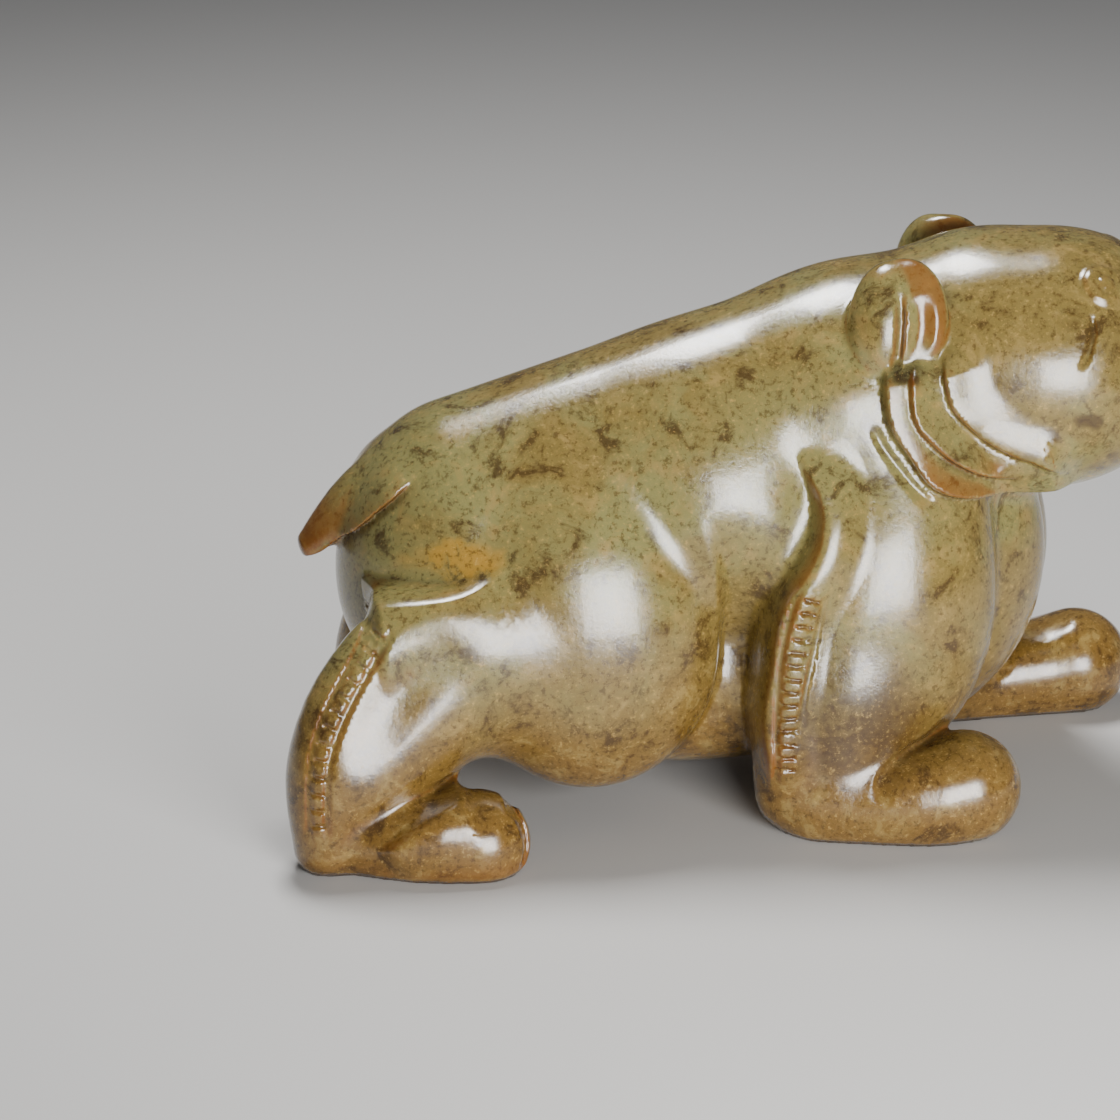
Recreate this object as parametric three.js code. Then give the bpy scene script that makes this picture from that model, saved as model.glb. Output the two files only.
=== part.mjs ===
// A striding bear carved from one pebble of russet-green jade, 86 mm from nose to heel.
//
// The bear walks along +X with its head turned a little to its right, +Y is its left side and
// +Z is up. It stands on its four flat soles at z = 0, with the origin under the middle of its
// bounding box. The figure is drawn in hundredths of its own length, as a distance field: each
// form is a function that gives the distance from a point to its surface, forms are joined with
// a soft blend as a carver's wheel leaves them, and the lines are cut into the result. The
// field is turned into a closed mesh of about the wanted number of triangles at the end.

import * as THREE from "three";

const LENGTH = 86; // nose to the heel of the hind foot, in millimetres
const UNIT = LENGTH / 100; // every other number is in these units

// Surface of the stone
const STEP = 0.5; // grid step that the field is first sampled on
const TRIANGLES = 9000;
const JADE = { color: 0x8a7440, roughness: 0.22, metalness: 0 };

// The curve through a few points, as short straight pieces.
function curve(points, pieces = 6) {
  const last = points.length - 1;
  const bend = (a, b, c, d, t) =>
    b + 0.5 * t * (c - a + t * (2 * a - 5 * b + 4 * c - d + t * (3 * (b - c) + d - a)));
  const path = [points[0]];
  for (let i = 0; i < last; i++) {
    const four = [i - 1, i, i + 1, i + 2].map((n) => points[Math.min(Math.max(n, 0), last)]);
    for (let k = 1; k <= pieces; k++)
      path.push(points[0].map((value, n) => bend(...four.map((point) => point[n]), k / pieces)));
  }
  return path;
}

// Distance forms

const radians = THREE.MathUtils.degToRad;

function softUnion(a, b, blend) {
  const overlap = Math.max(blend - Math.abs(a - b), 0);
  return Math.min(a, b) - (overlap * overlap) / (4 * blend);
}

function softCut(a, b, blend) {
  return -softUnion(-a, b, blend);
}

// An ellipsoid, turned about +Z by yaw and then raised at its front by pitch, both in degrees.
function ball([cx, cy, cz], [rx, ry, rz], { yaw = 0, pitch = 0, roll = 0 } = {}) {
  const turn = new THREE.Matrix4()
    .makeRotationFromEuler(new THREE.Euler(radians(roll), radians(-pitch), radians(yaw), "ZYX"))
    .transpose().elements;
  return (x, y, z) => {
    const dx = x - cx;
    const dy = y - cy;
    const dz = z - cz;
    const px = (turn[0] * dx + turn[4] * dy + turn[8] * dz) / rx;
    const py = (turn[1] * dx + turn[5] * dy + turn[9] * dz) / ry;
    const pz = (turn[2] * dx + turn[6] * dy + turn[10] * dz) / rz;
    const far = Math.hypot(px, py, pz);
    const slope = Math.hypot(px / rx, py / ry, pz / rz);
    return slope < 1e-9 ? -Math.min(rx, ry, rz) : (far * (far - 1)) / slope;
  };
}

// The round cone that joins two balls, each given as [x, y, z, radius].
function cone([ax, ay, az, ra], [bx, by, bz, rb]) {
  const bax = bx - ax;
  const bay = by - ay;
  const baz = bz - az;
  const length2 = bax * bax + bay * bay + baz * baz;
  const taper = ra - rb;
  const slant2 = length2 - taper * taper;
  return (x, y, z) => {
    const px = x - ax;
    const py = y - ay;
    const pz = z - az;
    const along = px * bax + py * bay + pz * baz;
    const past = along - length2;
    const qx = px * length2 - bax * along;
    const qy = py * length2 - bay * along;
    const qz = pz * length2 - baz * along;
    const side2 = qx * qx + qy * qy + qz * qz;
    const limit = Math.sign(taper) * taper * taper * side2;
    if (Math.sign(past) * slant2 * past * past * length2 > limit)
      return Math.sqrt(side2 + past * past * length2) / length2 - rb;
    if (Math.sign(along) * slant2 * along * along * length2 < limit)
      return Math.sqrt(side2 + along * along * length2) / length2 - ra;
    return (Math.sqrt((side2 * slant2) / length2) + along * taper) / length2 - ra;
  };
}

// A limb that runs in a smooth curve through several balls [x, y, z, radius].
function limb(points) {
  const path = curve(points, 3);
  const cones = path.slice(1).map((ball, i) => cone(path[i], ball));
  return (x, y, z) => cones.reduce((least, form) => Math.min(least, form(x, y, z)), Infinity);
}

function join(blend, first, ...rest) {
  return (x, y, z) => {
    let distance = first(x, y, z);
    for (const form of rest) distance = softUnion(distance, form(x, y, z), blend);
    return distance;
  };
}

// Lines carved in a side view

// How far a spot lies from a path, positive to the left of its run, how far along the path that
// is, and how long the path is.
function measure(path, x, z) {
  let best = Infinity;
  let side = 0;
  let along = 0;
  let before = 0;
  for (let i = 1; i < path.length; i++) {
    const dx = path[i][0] - path[i - 1][0];
    const dz = path[i][1] - path[i - 1][1];
    const length = Math.hypot(dx, dz);
    const px = x - path[i - 1][0];
    const pz = z - path[i - 1][1];
    const t = Math.min(Math.max((px * dx + pz * dz) / length ** 2, 0), 1);
    const far = Math.hypot(px - t * dx, pz - t * dz);
    if (far < best) {
      best = far;
      side = dx * pz - dz * px < 0 ? -far : far;
      along = before + t * length;
    }
    before += length;
  }
  return [side, along, before];
}

function smooth(low, high, value) {
  const t = Math.min(Math.max((value - low) / (high - low), 0), 1);
  return t * t * (3 - 2 * t);
}

// A carved line: depth(side) holds within reach of the path and dies away over the two lengths in
// fade at its ends.
function alongPath(points, reach, depth, fade) {
  const path = curve(points);
  const low = [0, 1].map((n) => Math.min(...path.map((point) => point[n])) - reach);
  const high = [0, 1].map((n) => Math.max(...path.map((point) => point[n])) + reach);
  return (x, z) => {
    if (x < low[0] || x > high[0] || z < low[1] || z > high[1]) return 0;
    const [side, along, length] = measure(path, x, z);
    return depth(side) * smooth(0, fade[0], along) * smooth(0, fade[1], length - along);
  };
}

// A round-bottomed line of the given width and depth.
function groove(points, width, depth, fade = [2, 2]) {
  return alongPath(points, width, (side) => depth * Math.max(1 - (side / width) ** 2, 0) ** 2, fade);
}

// A step: the stone to the left of the line stands up by height, or lies deeper where height is
// negative, and comes back over reach.
function step(points, height, reach, edge = 0.5, fade = [3, 3]) {
  const rise = (side) => -height * smooth(-edge, edge, side) * smooth(reach, edge, side);
  return alongPath(points, reach, rise, fade);
}

const total = (lines, across, up) => lines.reduce((sum, line) => sum + line(across, up), 0);

// Trunk

const torso = join(
  8,
  cone([-27.5, 0, 31.5, 12], [12, 0, 43, 12.4]),
  ball([-26, 0, 23], [15, 13, 13]),
  ball([20, 0, 24], [13.5, 11, 17.5]),
  ball([-3, 0, 14], [25, 12, 11]),
);
const flank = ball([-2.5, 0, 32], [17.5, 15.8, 17]);
const neck = cone([12, 0, 40.8, 14.1], [24, -1.5, 46, 12.6]);
const tail = limb([
  [-31, 0, 36.6, 4.6],
  [-38.4, 0, 33.5, 3.2],
  [-42.3, 0, 30.6, 2],
  [-44, 0, 29.1, 1.1],
]);
const TAIL_LINES = [
  step([[-45.8, 27.4], [-43.4, 28.4], [-41, 31], [-38.4, 34.2], [-36, 36.6], [-33.6, 38.8]], 1, 4,
    0.35, [1, 5]),
];

// Legs. The hind pair and the front pair stand a stride apart, all toes turned out.

const HIND_LINES = [
  step([[-25.5, 31.2], [-28.2, 29.5], [-31.2, 28.5], [-35, 28], [-40.6, 27.5]], 1, 10, 0.5, [6, 1.5]),
  step([[-6.6, 36], [-5, 31.5], [-3.7, 25], [-3.7, 17], [-5.4, 11.4], [-8, 8]], -1.5, 7, 0.9, [12, 6]),
];
const HIND_FOOT_LINES = [
  step([[-30.4, 8.9], [-33, 8.2], [-37.3, 5.8], [-40.8, 3]], 0.8, 5, 0.4, [2, 2]),
];
const HOCK_TOP = 27.5;

function hindLeg(side, stride) {
  const at = (x, y, z, r) => [x + stride, side * y, z, r];
  const thigh = ball(at(-17.3, 9.5, 22), [14.6, 9.2, 17.4], { pitch: 5, roll: side * 8 });
  const shank = cone(at(-30, 10.2, 19.3, 8.6), at(-41, 14.6, 9.5, 6.4));
  const hock = limb([
    at(-34.4, 12.3, 25, 4),
    at(-40.1, 14.8, 21.5, 3.3),
    at(-43.8, 16.2, 16.4, 3.4),
    at(-45.2, 17, 11, 3.4),
    at(-45.5, 17.4, 6.5, 3.4),
    at(-45.1, 17.4, 2.5, 3.4),
  ]);
  const shin = join(4, shank, hock);
  const level = (x, y, z) => softCut(shin(x, y, z), HOCK_TOP - z, 0.8);
  const foot = limb([
    at(-43.5, 15.6, 2.8, 4.4),
    at(-35.5, 18.5, 2.6, 5.2),
    at(-30, 19.3, 2.6, 5.4),
  ]);
  return join(1.2, join(5, thigh, level), foot);
}

const FRONT_LINES = [
  step([[3.6, 41], [4.9, 37.4], [5.4, 35.2], [5.1, 32.6], [4, 30], [2.3, 27.3], [1, 24.5], [0.1, 19],
    [-0.7, 12.6], [0.5, 4.4]], 2, 6, 0.5, [5, 6]),
];
const PAW_LINES = [groove([[11, 4.8], [11.9, 7.2], [14.4, 9], [17.4, 9.8], [20.4, 12]], 1.3, 0.5)];

function frontLeg(side, stride, reach, inward) {
  const at = (x, y, z, r) => [x + stride, side * y, z, r];
  const atPaw = (x, y, z, r) => at(x + reach, y - inward * (x / 20), z, r);
  const shoulder = ball(at(14.8, 8.7, 31), [10.5, 8.2, 18], { roll: side * 7 });
  const arm = ball(at(12.2 + reach * 0.35, 11.6, 20), [12.4, 8.4, 15], { pitch: -6 });
  const elbow = limb([
    at(8.4, 11, 34, 2.8),
    at(6.2, 12.5, 28.5, 2.8),
    at(3.6, 13.8, 22.5, 3),
    at(2.3, 14.8, 13, 3.1),
    at(3.2 + reach * 0.6, 15.2, 4, 3.4),
  ]);
  const shin = cone(at(9.4 + reach * 0.55, 12.6, 13.5, 7.8), at(8.5 + reach * 0.8, 14.6, 5, 6.2));
  const paw = limb([
    atPaw(7, 15.8, 3.4, 5.2),
    atPaw(16.5, 18.2, 4, 5.8),
    atPaw(20.9, 18.5, 4.8, 5.9),
  ]);
  return join(1.2, join(4, join(5, shoulder, arm), elbow, shin), paw);
}

// Head, in a frame of its own: forward, left and up from the middle of the skull.

const HEAD = { centre: [27, -2, 46], yaw: -20 };

function headSpot(x, y, z) {
  const c = Math.cos(radians(HEAD.yaw));
  const s = Math.sin(radians(HEAD.yaw));
  const dx = x - HEAD.centre[0];
  const dy = y - HEAD.centre[1];
  return [dx * c + dy * s, dy * c - dx * s, z - HEAD.centre[2]];
}

const HEAD_LINES = [
  groove([[26, -1.4], [22, -2.4], [18.5, -2.6], [15.5, -1.4]], 0.9, 0.9),
  step([[-9.8, 4.3], [-9.5, 0.6], [-9.1, -1.7], [-8.3, -3.7], [-6.6, -6.1], [-4.5, -8.8], [-1.6, -10.4],
    [2.4, -11.4], [6.5, -11.6], [10.5, -10.6]], 1.8, 9, 0.6),
  step([[-6.9, 4.5], [-6.8, 1], [-6.2, -2], [-4.8, -4], [-2.4, -6.4], [1, -8.5], [4.8, -9.3]], 1, 3, 0.4),
  step([[-4.1, 5], [-3.6, 1.7], [-2.8, -1], [-1.2, -3], [0.9, -4.9], [3.6, -6.4], [6.8, -7.7], [9.4, -9.4]],
    1, 5, 0.4),
  groove([[-10.7, -2.6], [-9.6, -4.9], [-7.9, -7.2], [-6, -9.4], [-3.9, -11.3]], 0.75, 0.4),
];
const EAR_LINES = [
  groove([[-8.9, 0.6], [-8.4, 4], [-8.2, 7.5], [-8.6, 11]], 0.7, 0.6, [2, 3]),
  groove([[-6.6, 10.4], [-6, 7], [-6.5, 3.2]], 1.5, 0.6, [3, 3]),
];

const skull = ball([3, 0, 0.2], [15.5, 13.8, 13.3]);
const brow = ball([9, 0, 5], [7.5, 7.5, 6.5]);
const muzzle = cone([8, 0, -0.3, 10.6], [17.5, 0, 0.3, 6.6]);
const snout = ball([20.5, 0, -0.2], [4.2, 5.4, 4.8]);
const nose = ball([23.8, 0, 2.3], [1.8, 3.1, 1.8]);

function ear(side, forward, drop) {
  const turn = { yaw: side * 12, roll: side * 14 };
  const back = ball([-10.4, side * 12.5, 6.5], [3.5, 3.1, 6.1], turn);
  const front = ball([-8.3, side * 11.7, 6.8], [4.7, 2.5, 6.3], turn);
  const lobe = join(1.5, back, front);
  return (f, l, u) => {
    const [across, up] = [f - forward, u + drop];
    return lobe(across, l, up) + total(EAR_LINES, across, up);
  };
}

// A bead inside a raised ring.
function eye(side) {
  const centre = new THREE.Vector3(11.3, side * 6.9, 9.9);
  const out = new THREE.Vector3(0.48, side * 0.5, 0.72).normalize();
  const bead = ball(centre.clone().addScaledVector(out, 0.2).toArray(), [1.1, 1.1, 1.1]);
  const spot = new THREE.Vector3();
  const ring = (f, l, u) => {
    spot.set(f, l, u).sub(centre);
    const height = spot.dot(out);
    const across = Math.sqrt(Math.max(spot.lengthSq() - height * height, 0));
    return Math.hypot(across - 1.6, height - 0.3) - 0.6;
  };
  return join(0.3, bead, ring);
}

const face = join(2.5, join(5, skull, muzzle, brow), snout);
const features = join(0.5, nose, ear(1, 2, 1), ear(-1, 0, 0), eye(1), eye(-1));

// The whole figure, cut off flat at the soles

const HIND_STRIDE = 9;
const FRONT_STRIDE = 8;
const REACH = 13;
const legs = [
  hindLeg(-1, 0),
  hindLeg(1, HIND_STRIDE),
  frontLeg(-1, 0, 0, 0),
  frontLeg(1, FRONT_STRIDE, REACH, 4),
];
const trunk = join(0.8, join(3, torso, flank, neck), tail);
const SKIN = 4; // lines are only worked out this near the surface
const FLANK = 7; // and this far from the middle plane

// What the carved lines add at a point: positive cuts in, negative stands up.
function relief(x, y, z) {
  const [f, l, u] = headSpot(x, y, z);
  let sum = f > -13 && (Math.abs(l) > 4 || f > 16) ? total(HEAD_LINES, f, u) : 0;
  sum += total(TAIL_LINES, x, z);
  if (Math.abs(y) < FLANK) return sum;
  const left = y > 0;
  const hindX = left ? x - HIND_STRIDE : x;
  const frontX = left ? x - FRONT_STRIDE : x;
  sum += total(HIND_LINES, hindX, z) + total(HIND_FOOT_LINES, hindX, z);
  sum += total(FRONT_LINES, frontX, z) + total(PAW_LINES, left ? frontX - REACH : frontX, z);
  return sum;
}

function figure(x, y, z) {
  let distance = softUnion(trunk(x, y, z), face(...headSpot(x, y, z)), 3);
  for (const leg of legs) distance = softUnion(distance, leg(x, y, z), 1.6);
  if (Math.abs(distance) < SKIN) distance += relief(x, y, z);
  distance = softUnion(distance, features(...headSpot(x, y, z)), 0.8);
  return softCut(distance, z, 0.8);
}

// From field to mesh

// Fills the outside sample nearest the surface in every chequered square or cube of the grid, so
// that no two sheets of the surface touch along an edge or at a point.
function settle(values, [nx, ny, nz], stride) {
  const inside = (place) => values[place] < 0;
  const fill = (places) => {
    const outside = places.filter((place) => !inside(place));
    values[outside.reduce((a, b) => (values[a] < values[b] ? a : b))] = -1e-3;
    return 1;
  };
  const whole = stride[0] + stride[1] + stride[2];
  const corners = [0, ...stride].flatMap((step) => [step, whole - step]);
  for (let filled = 1; filled; ) {
    filled = 0;
    for (let k = 0; k < nz - 1; k++)
      for (let j = 0; j < ny - 1; j++)
        for (let l = 0; l < nx - 1; l++) {
          const a = l + j * stride[1] + k * stride[2];
          if (corners.every((corner) => inside(a + corner) === inside(a))) continue;
          for (let axis = 0; axis < 3; axis++) {
            const u = stride[axis];
            const v = stride[(axis + 1) % 3];
            const [b, c, d] = [a + u, a + u + v, a + v];
            if (inside(a) === inside(c) && inside(b) === inside(d) && inside(a) !== inside(b))
              filled += fill([a, b, c, d]);
          }
          for (const u of [0, ...stride]) {
            const from = a + u;
            const to = a + whole - u;
            const cube = corners.map((corner) => a + corner);
            const others = cube.filter((n) => n !== from && n !== to);
            if (inside(from) === inside(to) && others.every((n) => inside(n) !== inside(from)))
              filled += fill(cube);
          }
        }
  }
}

// The field on a grid; a block of samples that lies well clear of the surface gets one value.
const BLOCK = 5;
function sample(field, low, [nx, ny, nz], step) {
  const values = new Float32Array(nx * ny * nz);
  const at = (l, j, k) => field(low[0] + l * step, low[1] + j * step, low[2] + k * step);
  const clear = 2 * BLOCK * step;
  for (let k0 = 0; k0 < nz; k0 += BLOCK)
    for (let j0 = 0; j0 < ny; j0 += BLOCK)
      for (let l0 = 0; l0 < nx; l0 += BLOCK) {
        const middle = at(l0 + BLOCK / 2, j0 + BLOCK / 2, k0 + BLOCK / 2);
        for (let k = k0; k < Math.min(k0 + BLOCK, nz); k++)
          for (let j = j0; j < Math.min(j0 + BLOCK, ny); j++)
            for (let l = l0; l < Math.min(l0 + BLOCK, nx); l++)
              values[l + nx * (j + ny * k)] = Math.abs(middle) > clear ? middle : at(l, j, k);
      }
  return values;
}

// Naive surface nets: one vertex for each cell that the surface crosses.
function surfaceNet(field, low, high, step) {
  const size = low.map((value, i) => Math.ceil((high[i] - value) / step) + 1);
  const [nx, ny, nz] = size;
  const values = sample(field, low, size, step);
  const stride = [1, nx, nx * ny];
  settle(values, size, stride);
  const corners = [0, 1, 2, 3, 4, 5, 6, 7].map((c) => [c & 1, (c >> 1) & 1, c >> 2]);
  const edges = [];
  corners.forEach((from, a) =>
    corners.forEach((to, b) => {
      const apart = from.filter((value, i) => value !== to[i]).length;
      if (a < b && apart === 1) edges.push([a, b]);
    }),
  );
  const offset = corners.map((c) => c[0] * stride[0] + c[1] * stride[1] + c[2] * stride[2]);
  const vertexOf = new Int32Array(values.length).fill(-1);
  const points = [];
  for (let k = 0; k < nz - 1; k++)
    for (let j = 0; j < ny - 1; j++)
      for (let l = 0; l < nx - 1; l++) {
        const base = l + j * stride[1] + k * stride[2];
        let crossed = 0;
        const sum = [0, 0, 0];
        for (const [a, b] of edges) {
          const va = values[base + offset[a]];
          const vb = values[base + offset[b]];
          if (va < 0 === vb < 0) continue;
          const t = va / (va - vb);
          for (let i = 0; i < 3; i++) sum[i] += corners[a][i] + t * (corners[b][i] - corners[a][i]);
          crossed++;
        }
        if (!crossed) continue;
        vertexOf[base] = points.length / 3;
        points.push(
          low[0] + (l + sum[0] / crossed) * step,
          low[1] + (j + sum[1] / crossed) * step,
          low[2] + (k + sum[2] / crossed) * step,
        );
      }
  const faces = [];
  const diagonals = new Set(); // no two squares are split between the same two points
  const span = (a, b) => Math.min(a, b) * values.length + Math.max(a, b);
  for (let k = 1; k < nz - 1; k++)
    for (let j = 1; j < ny - 1; j++)
      for (let l = 1; l < nx - 1; l++) {
        const here = l + j * stride[1] + k * stride[2];
        for (let axis = 0; axis < 3; axis++) {
          const inside = values[here] < 0;
          if (inside === values[here + stride[axis]] < 0) continue;
          const u = stride[(axis + 1) % 3];
          const v = stride[(axis + 2) % 3];
          const quad = [here - u - v, here - v, here, here - u].map((cell) => vertexOf[cell]);
          if (!inside) quad.reverse();
          if (diagonals.has(span(quad[0], quad[2]))) quad.push(quad.shift());
          diagonals.add(span(quad[0], quad[2]));
          faces.push([quad[0], quad[1], quad[2]], [quad[0], quad[2], quad[3]]);
        }
      }
  return { points, faces };
}

// Thins a closed mesh to about the wanted number of triangles by folding its cheapest edges
// into single points, each placed where it strays least from the planes that met along the edge.

function thin({ points, faces }, wanted) {
  const spot = (v) => points.slice(3 * v, 3 * v + 3);
  const minus = (p, q) => [p[0] - q[0], p[1] - q[1], p[2] - q[2]];
  const cross = (p, q) => [
    p[1] * q[2] - p[2] * q[1],
    p[2] * q[0] - p[0] * q[2],
    p[0] * q[1] - p[1] * q[0],
  ];
  const dot = (p, q) => p[0] * q[0] + p[1] * q[1] + p[2] * q[2];
  const normal = ([a, b, c]) => cross(minus(b, a), minus(c, a));
  const count = points.length / 3;
  const around = Array.from({ length: count }, () => new Set());
  const error = Array.from({ length: count }, () => new Float64Array(10));
  const version = new Int32Array(count);
  faces.forEach((face, index) => {
    const corners = face.map(spot);
    const n = normal(corners);
    const area = Math.hypot(...n) || 1e-12;
    const [a, b, c] = n.map((value) => value / area);
    const d = -(a * corners[0][0] + b * corners[0][1] + c * corners[0][2]);
    const terms = [a * a, a * b, a * c, a * d, b * b, b * c, b * d, c * c, c * d, d * d];
    for (const v of face) {
      around[v].add(index);
      terms.forEach((term, i) => (error[v][i] += term * area));
    }
  });
  const cost = (q, [x, y, z]) =>
    q[0] * x * x + 2 * q[1] * x * y + 2 * q[2] * x * z + 2 * q[3] * x +
    q[4] * y * y + 2 * q[5] * y * z + 2 * q[6] * y + q[7] * z * z + 2 * q[8] * z + q[9];
  const neighbours = (v) => {
    const found = new Set();
    for (const index of around[v]) for (const w of faces[index]) if (w !== v) found.add(w);
    return found;
  };

  function bestSpot(q, middle) {
    const rows = [[q[0], q[1], q[2]], [q[1], q[4], q[5]], [q[2], q[5], q[7]]];
    const right = [-q[3], -q[6], -q[8]];
    const c = [cross(rows[1], rows[2]), cross(rows[2], rows[0]), cross(rows[0], rows[1])];
    const det = dot(rows[0], c[0]);
    const size = rows[0][0] + rows[1][1] + rows[2][2];
    if (Math.abs(det) < 1e-4 * size ** 3) return middle;
    return [0, 1, 2].map((i) => (c[0][i] * right[0] + c[1][i] * right[1] + c[2][i] * right[2]) / det);
  }

  // A binary heap of edges, the cheapest on top; outdated entries are dropped as they come up.
  const heap = [];
  const swap = (i, j) => ([heap[i], heap[j]] = [heap[j], heap[i]]);
  function push(entry) {
    heap.push(entry);
    for (let i = heap.length - 1; i > 0 && heap[(i - 1) >> 1].cost > heap[i].cost; i = (i - 1) >> 1)
      swap(i, (i - 1) >> 1);
  }
  function pop() {
    const top = heap[0];
    const last = heap.pop();
    if (heap.length) heap[0] = last;
    for (let i = 0; ; ) {
      const [left, right] = [2 * i + 1, 2 * i + 2];
      let least = i;
      if (left < heap.length && heap[left].cost < heap[least].cost) least = left;
      if (right < heap.length && heap[right].cost < heap[least].cost) least = right;
      if (least === i) return top;
      swap(i, least);
      i = least;
    }
  }
  function offer(v, w) {
    const q = error[v].map((value, i) => value + error[w][i]);
    const middle = spot(v).map((value, i) => (value + points[3 * w + i]) / 2);
    const place = bestSpot(q, middle);
    push({ v, w, place, cost: cost(q, place), versions: version[v] + version[w] });
  }
  function folds(v, w, place) {
    const shared = [...neighbours(v)].filter((n) => neighbours(w).has(n));
    if (shared.length !== 2) return false;
    return [v, w].every((end) =>
      [...around[end]].every((index) => {
        const face = faces[index];
        if (face.includes(v) && face.includes(w)) return true;
        const before = normal(face.map(spot));
        const after = normal(face.map((n) => (n === end ? place : spot(n))));
        return dot(before, after) > 0.25 * Math.hypot(...before) * Math.hypot(...after);
      }),
    );
  }

  const gone = new Set();
  for (let v = 0; v < count; v++) for (const w of neighbours(v)) if (v < w) offer(v, w);
  while (faces.length - gone.size > wanted && heap.length) {
    const { v, w, place, versions } = pop();
    if (versions !== version[v] + version[w] || !around[v].size || !around[w].size) continue;
    if (!folds(v, w, place)) continue;
    place.forEach((value, i) => (points[3 * v + i] = value));
    error[w].forEach((value, i) => (error[v][i] += value));
    for (const index of around[w]) {
      const face = faces[index];
      if (face.includes(v)) {
        gone.add(index);
        for (const n of face) if (n !== w) around[n].delete(index);
      } else {
        face[face.indexOf(w)] = v;
        around[v].add(index);
      }
    }
    around[w].clear();
    version[v]++;
    version[w]++;
    for (const n of neighbours(v)) offer(v, n);
  }
  return { points, faces: faces.filter((face, index) => !gone.has(index)) };
}

// The mesh, made flat under the soles and set on its origin

const net = surfaceNet(figure, [-54, -30, -2], [56, 30, 66], STEP);
const FLAT = 0.3; // the stone this near the floor belongs to a sole
for (let i = 2; i < net.points.length; i += 3) if (net.points[i] < FLAT) net.points[i] = 0;
const { points, faces } = thin(net, TRIANGLES);
for (let i = 2; i < points.length; i += 3) if (points[i] < FLAT) points[i] = 0;

const geometry = new THREE.BufferGeometry();
geometry.setAttribute("position", new THREE.Float32BufferAttribute(points, 3));
geometry.setIndex(faces.flat());
geometry.scale(UNIT, UNIT, UNIT);
geometry.computeBoundingBox();
const middle = geometry.boundingBox.getCenter(new THREE.Vector3());
geometry.translate(-middle.x, -middle.y, 0);

const bear = new THREE.Mesh(geometry, new THREE.MeshStandardMaterial(JADE));
bear.name = "bear";
const root = new THREE.Group();
root.add(bear);
export default root;
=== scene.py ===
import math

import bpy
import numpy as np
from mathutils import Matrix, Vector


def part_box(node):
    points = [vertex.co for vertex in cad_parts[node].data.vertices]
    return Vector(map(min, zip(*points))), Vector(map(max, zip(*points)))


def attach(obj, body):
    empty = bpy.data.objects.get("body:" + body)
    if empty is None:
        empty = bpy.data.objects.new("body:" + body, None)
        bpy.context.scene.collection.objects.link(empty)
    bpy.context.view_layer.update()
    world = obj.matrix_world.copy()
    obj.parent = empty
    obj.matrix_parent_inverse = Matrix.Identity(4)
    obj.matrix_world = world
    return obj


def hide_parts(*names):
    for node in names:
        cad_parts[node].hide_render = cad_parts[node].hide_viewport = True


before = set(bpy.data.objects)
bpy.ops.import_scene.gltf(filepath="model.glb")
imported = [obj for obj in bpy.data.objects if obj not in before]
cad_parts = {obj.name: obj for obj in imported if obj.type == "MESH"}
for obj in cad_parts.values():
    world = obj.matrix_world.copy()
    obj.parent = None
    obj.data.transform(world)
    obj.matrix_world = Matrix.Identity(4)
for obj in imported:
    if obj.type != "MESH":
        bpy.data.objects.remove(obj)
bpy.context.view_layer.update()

# A striding bear carved from one pebble of russet-green jade, in its finished surface.
#
# The bear is drawn as a distance field in hundredths of its own length, with +X forward, +Y to
# its left and +Z up: forms are joined softly as a carver's wheel leaves them, and the lines are
# cut into the result. The field becomes one fine mesh that stands in the place of the solid.

# Fineness of the mesh, in hundredths of the length
COARSE = 2.4  # blocks that are searched for the surface
FINE = 0.34  # cells inside them
MAX_TRIANGLES = 190000
CURVE_PIECES = 6  # straight pieces between two points of a carved line
LIMB_PIECES = 3  # and between two balls of a limb


def curve(points, pieces):
    """The smooth curve through a few points, as short straight pieces."""
    points = [np.array(point, float) for point in points]
    last = len(points) - 1
    path = [points[0]]
    for i in range(last):
        a, b, c, d = (points[min(max(n, 0), last)] for n in (i - 1, i, i + 1, i + 2))
        for k in range(1, pieces + 1):
            t = k / pieces
            path.append(b + 0.5 * t * (c - a + t * (2 * a - 5 * b + 4 * c - d
                                                    + t * (3 * (b - c) + d - a))))
    return np.array(path)


# Distance forms: each is a function of arrays x, y, z that gives distances

TINY = 1e-6


def soft_union(a, b, blend):
    """The distance to two forms together, rounded over blend where they meet."""
    overlap = np.maximum(blend - np.abs(a - b), 0)
    return np.minimum(a, b) - overlap * overlap / (4 * blend)


def soft_cut(a, b, blend):
    """The distance to the part of form a that lies where b is positive."""
    return -soft_union(-a, b, blend)


def join(blend, *forms):
    def distance(x, y, z):
        total = forms[0](x, y, z)
        for form in forms[1:]:
            total = soft_union(total, form(x, y, z), blend)
        return total

    return distance


def ball(centre, radii, yaw=0, pitch=0, roll=0):
    """An ellipsoid, rolled about its forward axis, raised in front by pitch, turned by yaw."""
    turn = np.array((
        Matrix.Rotation(math.radians(yaw), 3, "Z")
        @ Matrix.Rotation(math.radians(-pitch), 3, "Y")
        @ Matrix.Rotation(math.radians(roll), 3, "X")
    ).transposed())

    def distance(x, y, z):
        d = (x - centre[0], y - centre[1], z - centre[2])
        px, py, pz = (
            (turn[i, 0] * d[0] + turn[i, 1] * d[1] + turn[i, 2] * d[2]) / radii[i]
            for i in range(3)
        )
        far = np.sqrt(px * px + py * py + pz * pz)
        slope = np.sqrt((px / radii[0]) ** 2 + (py / radii[1]) ** 2 + (pz / radii[2]) ** 2)
        return far * (far - 1) / np.maximum(slope, TINY)

    return distance


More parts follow.
